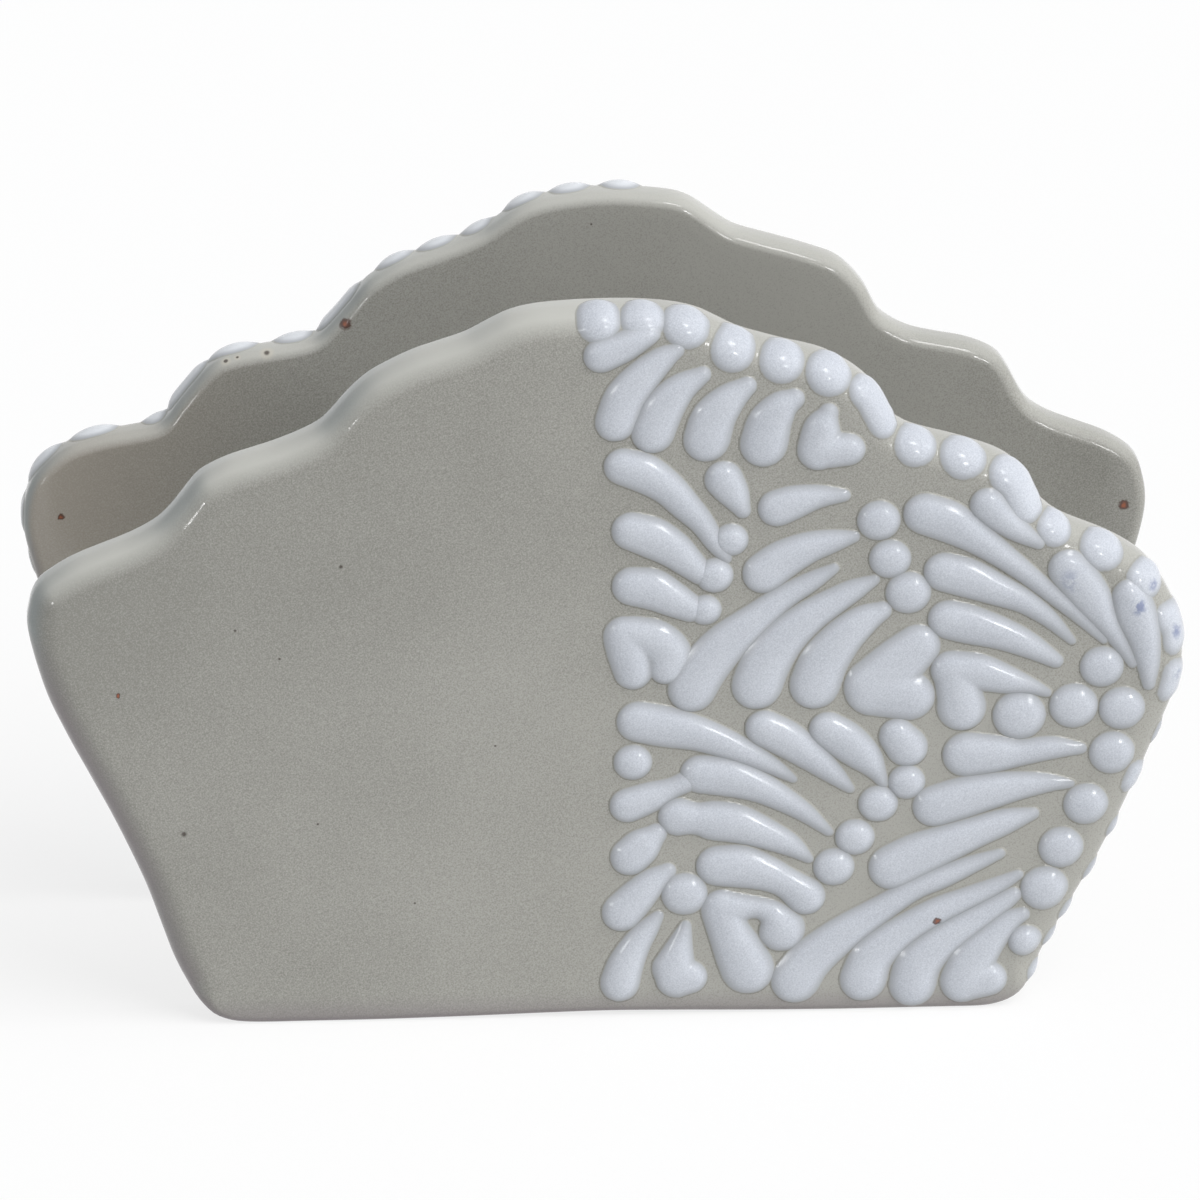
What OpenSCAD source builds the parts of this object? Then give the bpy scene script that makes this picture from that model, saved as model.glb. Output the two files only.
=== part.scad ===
// Napkin holder of glazed earthenware. Two upright fan-shaped walls stand on either side of a floor slab,
// open at both ends and at the top. Raised white slip covers the right half of each outer face, so the
// holder looks the same when it is turned half round.

/* [Walls] */
// Width of a wall from side tip to side tip
wall_w = 180; // [150:1:230]
// Height of the front wall at its crown
wall_h = 117.5; // [100:0.5:150]
// Thickness of a wall, whose rim is fully rounded
wall_t = 9; // [7:0.5:11]

/* [Slot and floor] */
// Clear width of the napkin slot between the walls
slot_w = 43; // [30:1:70]
// Thickness of the floor slab
floor_t = 9; // [5:0.5:14]
// How far each floor end stands back from the end of the flat foot
floor_set_back = 1; // [0:0.5:10]
// Radius of the smoothed coil in each inner seam
seam_r = 4; // [2:0.5:8]

/* [Slip] */
// Height of the slip drops above a face
slip_h = 1.7; // [0.8:0.1:2.2]
// Height of the beads over the rim
bead_h = 1.1; // [0.7:0.1:1.5]
// Height of the beads down the slanted side edge
edge_bead_h = 0.5; // [0.3:0.1:1]

/* [Hidden] */

glaze_colour = [0.64, 0.64, 0.61];
seam_colour = [0.58, 0.58, 0.55];
slip_colour = [0.80, 0.83, 0.87];

// One step of the share tables, which count in thousandths of a wall's width across and height up,
// from the middle of its foot. A third number is a radius in thousandths of the width.
thousandth_share = 0.001;
// Width of a wall over its height, as the tables were drawn
drawn_proportion_share = 1.532;

rim_r = wall_t / 2;
face_y = slot_w / 2 + wall_t;
wall_mid_y = face_y - rim_r;
radius_unit = thousandth_share * min(wall_w, wall_h * drawn_proportion_share);

// Points on the outline of each wall, clockwise from the left end of its foot as seen from outside.
// A place on one outline has the same number on the other.
front_outline_shares = [
    [-300, 0], [-333, 6], [-350, 22], [-364, 50], [-379, 98], [-400, 193], [-430, 298], [-460, 388],
    [-484, 470], [-497, 545], [-497, 585], [-488, 622], [-456, 655], [-415, 680], [-386, 704],
    [-366, 738], [-350, 768], [-322, 790], [-285, 808], [-248, 833], [-226, 868], [-203, 901],
    [-165, 931], [-122, 953], [-88, 980], [-55, 992], [0, 996], [48, 992], [80, 980], [112, 955],
    [150, 937], [185, 922], [214, 896], [232, 868], [244, 834], [262, 815], [298, 799], [336, 778],
    [359, 750], [370, 716], [392, 687], [430, 661], [460, 632], [480, 594], [494, 548], [498, 500],
    [493, 445], [475, 372], [449, 275], [424, 195], [400, 128], [381, 75], [364, 24], [338, 3],
    [300, 0], [200, 0], [110, 2], [0, 5], [-110, 2], [-200, 0]
];
back_outline_shares = [
    [-300, 0], [-333, 6], [-351, 22], [-365, 50], [-381, 98], [-402, 193], [-430, 298], [-460, 388],
    [-483, 470], [-494, 540], [-491, 588], [-481, 620], [-453, 647], [-415, 669], [-390, 692],
    [-376, 726], [-361, 762], [-331, 783], [-287, 798], [-257, 825], [-243, 864], [-217, 904],
    [-169, 930], [-127, 950], [-100, 979], [-75, 998], [-17, 1006], [34, 998], [65, 981], [93, 952],
    [128, 930], [163, 911], [193, 884], [208, 857], [228, 822], [246, 802], [288, 791], [323, 778],
    [344, 750], [363, 714], [379, 687], [418, 675], [458, 657], [488, 616], [498, 560], [494, 510],
    [484, 455], [468, 375], [444, 275], [421, 195], [400, 128], [382, 75], [363, 30], [338, 5],
    [300, 0], [200, 0], [110, 2], [0, 5], [-110, 2], [-200, 0]
];
foot_end_share = 300;
outline_steps = 2;

// Beads along the rim: the outline numbers between which one runs, its radius, and how many degrees
// over the edge it reaches towards the outer face
front_rim_bead_shares = [
    [25.85, 25.85, 15.5, 55], [26.65, 26.65, 17, 55], [27.7, 27.7, 17, 55], [29, 29, 19, 55],
    [30.05, 30.05, 18, 55], [31.3, 31.3, 17.5, 55], [32.7, 33.9, 13.5, 42], [35.15, 35.15, 18, 52],
    [36.25, 36.25, 18.5, 52], [37.6, 38.9, 15.5, 46], [39.9, 39.9, 14.5, 50], [41, 41, 18.5, 52],
    [42.3, 42.3, 17, 50]
];
front_edge_bead_shares = [
    [43.9, 44.7, 12, 32], [45.7, 46.05, 11.5, 28], [46.85, 46.95, 10, 8], [47.5, 47.6, 11.5, 26],
    [48.3, 48.35, 9.5, 14], [49.05, 49.15, 10, 12], [49.9, 50, 9.5, 14], [50.6, 50.7, 9, 14],
    [51.5, 51.6, 9, 20]
];
back_rim_bead_shares = [
    [25.8, 25.8, 16.5, 55], [26.6, 26.6, 17, 55], [27.7, 27.7, 16.5, 55], [29.1, 29.1, 18, 55],
    [30.1, 30.1, 19, 55], [31.2, 31.2, 17, 55], [33, 34, 13.5, 42], [35.3, 35.3, 19, 52],
    [36.6, 36.6, 19, 52], [38, 38.9, 14, 46], [40, 40, 16, 50], [41.4, 41.4, 19.5, 52],
    [42.7, 42.7, 17.5, 50]
];
back_edge_bead_shares = [
    [43.9, 44.2, 14, 32], [45.3, 45.5, 11.5, 28], [46.3, 46.4, 10, 12], [47.1, 47.2, 11.5, 22],
    [47.9, 48, 10, 14], [48.7, 48.8, 10.5, 16], [49.5, 49.6, 9.5, 14], [50.4, 50.5, 9, 14],
    [51.4, 51.5, 9, 20]
];

// Strokes of slip from head to tail
top_feather_shares = [
    [[-6, 924, 13], [18, 938, 9], [42, 949, 4]],
    [[6, 837, 16.5], [14, 870, 16.5], [30, 900, 14], [48, 925, 10], [62, 937, 5]],
    [[41, 824, 17.5], [50, 857, 16.5], [64, 884, 12], [84, 903, 6]],
    [[86, 814, 19], [92, 843, 18], [105, 868, 13], [120, 886, 7]],
    [[136, 806, 19.5], [141, 835, 18], [151, 857, 13], [160, 867, 8]],
    [[180, 797, 17], [183, 828, 14], [188, 847, 7]],
    [[181, 795, 15], [205, 796, 13]]
];
left_feather_shares = [
    [[13, 778, 15], [31, 768, 16], [50, 748, 13.5], [66, 722, 11.5], [80, 698, 9.5], [104, 672, 14]],
    [[99, 757, 15], [108, 735, 11.5], [115, 714, 5.5]],
    [[145, 716, 15], [160, 724, 13.5], [180, 731, 9], [202, 732, 4]],
    [[20, 688, 15.5], [38, 678, 17], [55, 662, 15], [68, 644, 12], [92, 622, 15]],
    [[21, 611, 16], [38, 606, 17], [56, 591, 14], [68, 577, 12], [80, 568, 14]]
];
centre_plume_shares = [
    [[134, 626, 17], [150, 644, 16], [172, 660, 12.5], [194, 669, 8.5], [211, 674, 3.5]],
    [[72, 465, 19.3], [82, 493, 19.3], [100, 527, 17.5], [125, 560, 13], [150, 590, 9.5],
        [175, 613, 7], [194, 630, 3]],
    [[128, 469, 20.5], [136, 500, 20], [151, 533, 17], [172, 562, 13.5], [195, 585, 10.5],
        [212, 600, 8], [229, 613, 3]],
    [[178, 468, 20.5], [186, 500, 19.5], [202, 533, 16], [220, 557, 12], [235, 569, 7]],
    [[230, 463, 25.5], [250, 495, 22], [266, 518, 18.5]],
    [[230, 462, 25], [259, 449, 21]],
    [[14, 540, 17], [18, 515, 17], [21, 492, 15]],
    [[20, 544, 15], [40, 535, 17], [52, 515, 18], [50, 497, 14]]
];
corner_feather_shares = [
    [[326, 714, 14], [337, 697, 12], [353, 677, 8.5], [370, 659, 3.5]],
    [[272, 704, 17], [294, 691, 17], [318, 667, 12.5], [340, 642, 9.5], [360, 617, 7.5],
        [380, 590, 6], [402, 560, 4.5], [428, 521, 2]],
    [[289, 622, 16], [310, 612, 16], [335, 595, 12.5], [358, 578, 9], [380, 553, 6], [400, 521, 2]],
    [[293, 555, 16], [312, 547, 16], [338, 534, 13], [362, 517, 10], [386, 494, 5]],
    [[296, 484, 16], [320, 480, 15], [345, 468, 11], [364, 459, 6], [379, 449, 2.5]],
    [[298, 480, 16], [303, 450, 18], [305, 432, 20]],
    [[396, 622, 16], [407, 602, 16.5], [417, 580, 15], [426, 556, 10.5], [433, 538, 7.5],
        [441, 518, 5.5], [453, 487, 2.5]],
    [[450, 581, 14.5], [455, 558, 16.5], [462, 525, 13], [466, 490, 9], [467, 458, 4]]
];
side_feather_shares = [
    [[310, 364, 19], [335, 364, 15.5], [357, 365, 10.5], [383, 371, 9], [409, 369, 3.5]],
    [[283, 292, 17.5], [305, 302, 17.5], [330, 311, 15], [355, 318, 11.5], [380, 321, 7], [401, 319, 2]],
    [[247, 206, 19.5], [269, 223, 19], [295, 239, 15.5], [320, 254, 12.5], [345, 268, 10], [368, 278, 4]]
];
foot_feather_shares = [
    [[163, 48, 20], [176, 76, 18], [202, 110, 15], [235, 144, 11], [265, 173, 8.5], [290, 190, 8.5],
        [315, 207, 6.5], [340, 222, 3]],
    [[222, 47, 19], [229, 76, 17], [245, 101, 14], [264, 122, 12], [287, 142, 11], [311, 158, 9],
        [336, 175, 6.5], [356, 191, 3]],
    [[265, 38, 19], [270, 65, 18.5], [286, 92, 14.5], [305, 114, 12], [328, 137, 9.5], [343, 152, 7.5],
        [352, 162, 5.5]],
    [[309, 41, 18.5], [318, 70, 18], [333, 100, 12.5], [349, 125, 8.5], [360, 134, 5]],
    [[311, 40, 17], [331, 43, 14.5]]
];
middle_drop_shares = [
    [[135, 407, 15], [155, 390, 15], [177, 364, 11.5], [195, 340, 7.5], [209, 319, 2.5]],
    [[190, 403, 15], [206, 386, 16], [223, 362, 12.5], [233, 340, 6], [238, 324, 2.5]],
    [[250, 392, 14.5], [258, 377, 16.5]]
];
lower_feather_shares = [
    [[26, 420, 17], [50, 412, 17], [78, 401, 14], [103, 385, 11.5], [126, 367, 8.5], [145, 350, 5.5],
        [160, 334, 2]],
    [[80, 344, 16], [105, 338, 16], [130, 324, 12.5], [152, 305, 9.5], [172, 284, 6.5], [191, 258, 2.5]],
    [[17, 302, 14], [38, 314, 12], [55, 325, 8], [68, 334, 8]],
    [[61, 284, 16], [76, 281, 13], [90, 278, 16.5], [112, 272, 16], [135, 258, 12.5], [158, 240, 8.5],
        [174, 220, 2.5]],
    [[95, 213, 17], [115, 211, 18], [138, 200, 14.5], [155, 186, 12.5], [171, 167, 15.5]]
];
foot_drop_shares = [
    [[19, 229, 15.5], [30, 245, 14.5], [41, 260, 8]],
    [[12, 150, 16], [24, 170, 14.5], [38, 192, 11], [51, 207, 6]],
    [[10, 49, 15.5], [15, 75, 14], [24, 103, 11], [35, 127, 7.5], [43, 143, 3.5]],
    [[57, 69, 17.5], [62, 100, 10], [67, 128, 3.5]],
    [[60, 54, 17], [70, 55, 14]],
    [[99, 150, 17], [104, 122, 16.5], [113, 92, 20], [121, 66, 22]],
    [[101, 151, 16], [126, 145, 10.5], [149, 121, 19.5]]
];

// Dots of slip
crown_dot_shares = [[232, 696, 16.5], [242, 642, 16], [258, 594, 17.5]];
side_dot_shares = [
    [426, 484, 17], [402, 430, 19], [444, 425, 18], [355, 418, 21], [436, 362, 18], [414, 290, 17.5],
    [393, 229, 17.5], [379, 171, 19], [363, 96, 13]
];
left_dot_shares = [[21, 363, 14.5], [66, 174, 18]];
lower_dot_shares = [[258, 327, 14], [233.5, 297, 15], [213.5, 250, 15], [195.5, 208, 15.8]];

// A stroke is at full height where its radius reaches this share of the width
full_height_share = 15;
// Angles from the tip at which a stroke's round ends have a ring, and the angles round half a ring
end_angles = [22, 55];
ring_angles = [0 : 45 : 180];
rim_angles = [-90 : 30 : 90];
// Degrees from the crest of the edge at which the beads start, towards the outer face
rim_bead_start = 28;
edge_bead_start = -15;
bead_station_step = 0.45;
bead_fn = 10;
dot_fn = 14;
cap_fn = 48;

function on_wall(p) = [p.x * thousandth_share * wall_w, p.y * thousandth_share * wall_h];
function spot(p) = [for (v = on_wall(p)) v, p[2] * radius_unit];

// Smooth curve from b to c, with a before them and d after
function blend(a, b, c, d, t) =
    b + t / 2 * ((c - a) + t * ((2 * a - 5 * b + 4 * c - d) + t * (3 * (b - c) + d - a)));

// Place on a closed outline at a number that need not be whole
function outline_at(p, s) = let(n = len(p), i = floor(s), q = [for (k = [-1 : 2]) p[(i + k + n) % n]])
    blend(on_wall(q[0]), on_wall(q[1]), on_wall(q[2]), on_wall(q[3]), s - i);
function foot_flat(p) = [p.x, max(0, p.y)];
function outline(p) = let(step = 1 / outline_steps)
    [for (s = [0 : step : len(p) - step]) foot_flat(outline_at(p, s))];

function unit(v) = v / norm(v);
function turned(v) = [v.y, -v.x];
function inward(p, i) = let(n = len(p)) turned(unit(p[(i + 1) % n] - p[(i - 1 + n) % n]));

// The edge is fully round, easing into a flat foot over the height of one edge radius
function edge_inset(z, angle) = rim_r * (1 - cos(angle)) * min(1, z / rim_r);

module wall_slab(shares) {
    p = outline(shares);
    n = len(p);
    layers = [for (angle = rim_angles) angle];
    rings = [
        for (angle = layers, i = [0 : n - 1])
            let(q = p[i] + inward(p, i) * edge_inset(p[i].y, angle))
                [q.x, rim_r * sin(angle) - wall_mid_y, max(0, q.y)]
    ];
    hub = [0, 0, wall_h * foot_end_share * thousandth_share];
    hubs = [hub - [0, wall_mid_y + rim_r, 0], hub - [0, wall_mid_y - rim_r, 0]];
    last = len(layers) - 1;
    sides = [
        for (l = [0 : last - 1], i = [0 : n - 1])
            let(a = l * n + i, b = l * n + (i + 1) % n, c = b + n, d = a + n)
                each [[c, b, a], [d, c, a]]
    ];
    front_cap = [for (i = [0 : n - 1]) [len(rings), i, (i + 1) % n]];
    back_cap = [for (i = [0 : n - 1]) [len(rings) + 1, last * n + (i + 1) % n, last * n + i]];
    polyhedron(points = concat(rings, hubs), faces = concat(sides, front_cap, back_cap));
}

// Height of a stroke of slip where its radius is r
function lift(r) = slip_h * sqrt(min(1, r / (full_height_share * radius_unit)));

function flat(p) = [p.x, p.y];
function heading(p, i) = unit(flat(p[min(i + 1, len(p) - 1)]) - flat(p[max(i - 1, 0)]));
// A ring is [place, heading, half width, height]
function ring_at(p, i) = [flat(p[i]), heading(p, i), p[i][2], lift(p[i][2])];
function end_ring(ring, side, angle) = [
    ring[0] + ring[1] * side * ring[2] * cos(angle), ring[1], ring[2] * sin(angle), ring[3] * sin(angle)
];
function ring_points(ring) = [
    for (a = ring_angles)
        let(q = ring[0] - turned(ring[1]) * ring[2] * cos(a)) [q.x, -face_y - ring[3] * sin(a), q.y]
];

// One stroke: a dome swept along a path, round at both ends and flat where it lies on the face
module stroke(path) {
    p = [for (row = path) spot(row)];
    n = len(p);
    rings = [
        for (a = end_angles) end_ring(ring_at(p, 0), -1, a),
        for (i = [0 : n - 1]) ring_at(p, i),
        for (k = [len(end_angles) - 1 : -1 : 0]) end_ring(ring_at(p, n - 1), 1, end_angles[k])
    ];
    m = len(ring_points(rings[0]));
    points = [for (ring = rings) each ring_points(ring)];
    last = (len(rings) - 1) * m;
    skin = [
        for (s = [0 : len(rings) - 2], j = [0 : m - 1])
            let(a = s * m + j, b = s * m + (j + 1) % m, c = b + m, d = a + m)
                each [[c, b, a], [d, c, a]]
    ];
    head = [for (j = [1 : m - 2]) [0, j, j + 1]];
    tail = [for (j = [1 : m - 2]) [last, last + j + 1, last + j]];
    polyhedron(points = points, faces = concat(skin, head, tail));
}

module strokes(paths) {
    color(slip_colour) for (path = paths) stroke(path);
}

// A round cap of slip on the flat of the face
module dot_cap(row) {
    p = spot(row);
    h = lift(p[2]);
    ball_r = (p[2] * p[2] + h * h) / (2 * h);
    intersection() {
        translate([p.x, ball_r - h - face_y, p.y]) sphere(ball_r, $fn = cap_fn);
        translate([p.x - ball_r, -face_y - 2 * ball_r, p.y - ball_r]) cube(2 * ball_r);
    }
}

module dots(rows) {
    color(slip_colour) for (row = rows) dot_cap(row);
}

// A dot near the edge, which follows the face where it rounds away
module seated_dot(row) {
    p = spot(row);
    h = lift(p[2]);
    hull() translate([p.x, -face_y, p.y]) scale([p[2], h, p[2]]) sphere(1, $fn = dot_fn);
}

// Direction along a rim at one outline number
function along(shares, s) = let(step = bead_station_step)
    unit(outline_at(shares, s + step) - outline_at(shares, s - step));

// One round piece of a bead, at one place along the rim and one angle over it. Only the top of the ball
// stands out, so it is stretched along the rim until what shows has the bead's own width.
module bead_ball(shares, s, angle, r, h) {
    reach = rim_r + h - r;
    way = along(shares, s);
    q = outline_at(shares, s) + turned(way) * (rim_r - reach * cos(angle));
    translate([q.x, -wall_mid_y - reach * sin(angle), q.y]) rotate([0, -atan2(way.y, way.x), 0])
        scale([r / sqrt(1 - pow(1 - h / r, 2)), r, r]) sphere(1, $fn = bead_fn);
}

// A bead laid over the edge, from one place along it to another
module bead(shares, row, start, h) {
    r = row[2] * radius_unit;
    places = max(1, ceil((row[1] - row[0]) / bead_station_step));
    for (k = [0 : places - 1]) hull() {
        for (s = [k, k + 1] * (row[1] - row[0]) / places, angle = [start, (start + row[3]) / 2, row[3]])
            bead_ball(shares, row[0] + s, angle, r, h);
    }
}

module beads(shares, rows, start, h) {
    color(slip_colour) difference() {
        for (row = rows) bead(shares, row, start, h);
        wall_slab(shares);
    }
}

module side_dots(shares) {
    color(slip_colour) difference() {
        for (row = side_dot_shares) seated_dot(row);
        wall_slab(shares);
    }
}

module turned_round() {
    rotate([0, 0, 180]) children();
}

floor_l = 2 * (foot_end_share * thousandth_share * wall_w - floor_set_back);

module floor_slab() {
    color(glaze_colour) translate([-floor_l / 2, -slot_w / 2, 0]) cube([floor_l, slot_w, floor_t]);
}

// Clay smoothed into the corner between the floor and a wall, hollow in section
module seam() {
    color(seam_colour) translate([-floor_l / 2, -slot_w / 2, floor_t]) rotate([90, 0, 90])
        linear_extrude(floor_l) difference() {
            square(seam_r);
            translate([seam_r, seam_r]) circle(seam_r, $fn = cap_fn);
        }
}

module rim_beads(shares, rows) { beads(shares, rows, rim_bead_start, bead_h); }
module edge_beads(shares, rows) { beads(shares, rows, edge_bead_start, edge_bead_h); }
module front_rim_beads() { rim_beads(front_outline_shares, front_rim_bead_shares); }
module front_edge_beads() { edge_beads(front_outline_shares, front_edge_bead_shares); }
module back_rim_beads() { turned_round() rim_beads(back_outline_shares, back_rim_bead_shares); }
module back_edge_beads() { turned_round() edge_beads(back_outline_shares, back_edge_bead_shares); }

module front_wall() { color(glaze_colour) wall_slab(front_outline_shares); }
module back_wall() { turned_round() color(glaze_colour) wall_slab(back_outline_shares); }

front_wall();
back_wall();
floor_slab();  // floor
seam();  // front_seam
turned_round() seam();  // back_seam
front_rim_beads();
front_edge_beads();
strokes(top_feather_shares);  // front_top_feathers
strokes(left_feather_shares);  // front_left_feathers
strokes(centre_plume_shares);  // front_centre_plume
strokes(corner_feather_shares);  // front_corner_feathers
strokes(side_feather_shares);  // front_side_feathers
strokes(foot_feather_shares);  // front_foot_feathers
strokes(middle_drop_shares);  // front_middle_drops
strokes(lower_feather_shares);  // front_lower_feathers
strokes(foot_drop_shares);  // front_foot_drops
dots(crown_dot_shares);  // front_crown_dots
side_dots(front_outline_shares);  // front_side_dots
dots(left_dot_shares);  // front_left_dots
dots(lower_dot_shares);  // front_lower_dots
back_rim_beads();
back_edge_beads();
turned_round() strokes(top_feather_shares);  // back_top_feathers
turned_round() strokes(left_feather_shares);  // back_left_feathers
turned_round() strokes(centre_plume_shares);  // back_centre_plume
turned_round() strokes(corner_feather_shares);  // back_corner_feathers
turned_round() strokes(side_feather_shares);  // back_side_feathers
turned_round() strokes(foot_feather_shares);  // back_foot_feathers
turned_round() strokes(middle_drop_shares);  // back_middle_drops
turned_round() strokes(lower_feather_shares);  // back_lower_feathers
turned_round() strokes(foot_drop_shares);  // back_foot_drops
turned_round() dots(crown_dot_shares);  // back_crown_dots
turned_round() side_dots(back_outline_shares);  // back_side_dots
turned_round() dots(left_dot_shares);  // back_left_dots
turned_round() dots(lower_dot_shares);  // back_lower_dots
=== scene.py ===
import math
import bpy
import numpy as np
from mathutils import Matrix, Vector, noise
from mathutils.bvhtree import BVHTree


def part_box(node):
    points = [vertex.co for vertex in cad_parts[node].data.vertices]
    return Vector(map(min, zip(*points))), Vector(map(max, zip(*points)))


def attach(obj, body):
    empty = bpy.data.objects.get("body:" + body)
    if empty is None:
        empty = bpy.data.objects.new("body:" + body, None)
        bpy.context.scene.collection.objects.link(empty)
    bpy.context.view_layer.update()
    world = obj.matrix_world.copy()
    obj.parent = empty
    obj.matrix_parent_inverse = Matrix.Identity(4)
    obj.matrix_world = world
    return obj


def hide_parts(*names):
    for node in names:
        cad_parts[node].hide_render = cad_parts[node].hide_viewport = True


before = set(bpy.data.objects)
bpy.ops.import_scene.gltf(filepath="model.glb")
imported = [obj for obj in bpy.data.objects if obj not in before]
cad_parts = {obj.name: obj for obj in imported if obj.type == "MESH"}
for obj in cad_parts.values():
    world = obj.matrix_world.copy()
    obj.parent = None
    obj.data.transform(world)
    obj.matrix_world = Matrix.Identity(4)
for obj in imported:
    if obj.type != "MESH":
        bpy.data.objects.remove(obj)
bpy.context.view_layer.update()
mm = 0.001
print("frame loaded")

# Sizes below are in millimetres. Places on a face are in thousandths of the wall's width across and height
# up, from the middle of its foot, and radii in thousandths of the width, as in the part's source.
faceScale = {"width": 180.0, "height": 117.5}
share = 0.001


def onFace(rows):
    rows = np.asarray(rows, float)
    across, up = faceScale["width"] * share, faceScale["height"] * share
    return rows * np.array([across, up, across])


def unit(v):
    return v / np.maximum(np.linalg.norm(v, axis=-1, keepdims=True), 1e-12)


def smooth(x, low, high):
    t = np.clip((x - low) / (high - low), 0, 1)
    return t * t * (3 - 2 * t)


# A smooth step from b to c, with a before them and d after
def between(a, b, c, d, t):
    return b + t / 2 * ((c - a) + t * ((2 * a - 5 * b + 4 * c - d) + t * (3 * (b - c) + d - a)))


# Smooth curve through rows of numbers, in steps of about one length in its first two columns
def curveThrough(rows, step):
    before, after = 2 * rows[:1] - rows[1:2], 2 * rows[-1:] - rows[-2:-1]
    longer = np.vstack([before, rows, after])
    made = []
    for a, b, c, d in zip(longer, longer[1:], longer[2:], longer[3:]):
        count = max(1, math.ceil(np.linalg.norm((c - b)[:2]) / step))
        made += [between(a, b, c, d, k / count) for k in range(count)]
    return np.array(made + [rows[-1]])


def turned(points):
    return points * np.array([-1.0, -1.0, 1.0])


def newMesh(name, points, faces):
    mesh = bpy.data.meshes.new(name)
    mesh.from_pydata((np.asarray(points) * mm).tolist(), [], faces)
    mesh.shade_smooth()
    return mesh


def newPiece(name, mesh, material, node):
    piece = bpy.data.objects.new(name, mesh)
    bpy.context.scene.collection.objects.link(piece)
    mesh.materials.clear()
    mesh.materials.append(material)
    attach(piece, "root")
    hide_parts(node)


def readVectors(items, field):
    made = np.zeros(len(items) * 3, np.float32)
    items.foreach_get(field, made)
    return made.reshape(-1, 3).astype(float)


# Which way the wall faces under each point, for the colour over its edges: thinner glaze, painted light and
# painted shade
def keepFacing(mesh, normals):
    kept = mesh.attributes.new("wallFacing", "FLOAT_VECTOR", "POINT")
    kept.data.foreach_set("vector", np.asarray(normals, np.float32).ravel())


# Quads between closed rings of as many points each
def skin(ringCount, pointCount):
    made = []
    for k in range(ringCount - 1):
        a, b = k * pointCount, (k + 1) * pointCount
        for i in range(pointCount):
            j = (i + 1) % pointCount
            made.append((a + i, a + j, b + j, b + i))
    return made


class Wire:
    def __init__(self, tree, socket=None):
        self.tree = tree
        self.socket = socket

    def node(self, kind, settings=None, sockets=None, output=0):
        made = self.tree.nodes.new(kind)
        for name, value in (settings or {}).items():
            setattr(made, name, value)
        for name, value in (sockets or {}).items():
            if isinstance(value, Wire):
                self.tree.links.new(value.socket, made.inputs[name])
            elif made.inputs[name].type == "RGBA" and len(value) == 3:
                made.inputs[name].default_value = (*value, 1)
            else:
                made.inputs[name].default_value = value
        return Wire(self.tree, made.outputs[output] if made.outputs else None)

    def math(self, operation, first, second):
        return self.node("ShaderNodeMath", {"operation": operation}, {0: first, 1: second})

    def __add__(self, other):
        return self.math("ADD", self, other)

    __radd__ = __add__

    def __sub__(self, other):
        return self.math("SUBTRACT", self, other)

    def __rsub__(self, other):
        return self.math("SUBTRACT", other, self)

    def __mul__(self, other):
        return self.math("MULTIPLY", self, other)

    __rmul__ = __mul__

    def __truediv__(self, other):
        return self.math("DIVIDE", self, other)

    def __rtruediv__(self, other):
        return self.math("DIVIDE", other, self)

    def __neg__(self):
        return 0 - self

    def __abs__(self):
        return self.node("ShaderNodeMath", {"operation": "ABSOLUTE"}, {0: self})

    def root(self):
        return self.node("ShaderNodeMath", {"operation": "SQRT"}, {0: self})

    def atLeast(self, limit):
        return self.math("MAXIMUM", self, limit)

    def clamped(self):
        return self.node("ShaderNodeClamp", {}, {"Value": self})

    def rising(self, low, high):
        made = {"Value": self, "From Min": low, "From Max": high}
        return self.node("ShaderNodeMapRange", {"interpolation_type": "SMOOTHSTEP"}, made)

    def falling(self, low, high):
        return 1 - self.rising(low, high)

    def ramp(self, low, high, amount):
        return self.rising(low, high) * amount

    # The colour between two, for which this value is the share of the second
    def blend(self, first, second):
        return self.node("ShaderNodeMix", {"data_type": "RGBA"}, {0: self, 6: first, 7: second}, 2)

    def toward(self, colour, factor):
        return factor.blend(self, colour)

    def axes(self):
        return [self.node("ShaderNodeSeparateXYZ", {}, {"Vector": self}, axis) for axis in ("X", "Y", "Z")]

    def clouds(self, scale, detail, rough):
        made = {"Vector": self, "Scale": scale, "Detail": detail, "Roughness": rough}
        return self.node("ShaderNodeTexNoise", {}, made)

    def askew(self, turns):
        made = {"Vector": self, "Rotation": turns}
        return self.node("ShaderNodeVectorRotate", {"rotation_type": "EULER_XYZ"}, made)

    def distanceTo(self, point):
        made = {0: self, 1: tuple(v * mm for v in point)}
        return self.node("ShaderNodeVectorMath", {"operation": "DISTANCE"}, made, "Value")


def fromScreen(*levels):
    return tuple(round(((v / 255 + 0.055) / 1.055) ** 2.4, 4) for v in levels)


glaze = {
    "pale": fromScreen(172, 171, 165),
    "deep": fromScreen(138, 137, 131),
    "cream": fromScreen(194, 194, 188),  # thinner glaze over an edge that faces up, and painted light from above
    "cool": fromScreen(150, 157, 158),  # painted shade over an edge that faces left
    "plum": fromScreen(134, 126, 130),  # painted shade over an edge that faces down, and along the foot
    "tan": fromScreen(176, 166, 154),  # at the left end of the back wall
    "olive": fromScreen(152, 150, 138),  # pooled at the foot of the slip, and painted shade in the crease there
    # Clouds have features a metre, layers of detail and the share of the finer layers
    "grain": (4200.0, 1.0, 0.5),
    "grainShare": 1.8,
    "slant": (0.62, 0.41, 0.27),  # turns the grain off the flat of the walls, which would thin it in bands
    "drift": (32.0, 3.0, 0.55),
    "driftShare": 0.6,
    "depth": 0.81,  # more is a deeper tone all over
    "peel": (330.0, 4.0, 0.6),
    "peelDepth": 0.07,  # mm
    "patches": (60.0, 2.0, 0.5),
    "rough": (0.07, 0.12),
    "ior": 1.45,
}
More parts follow.
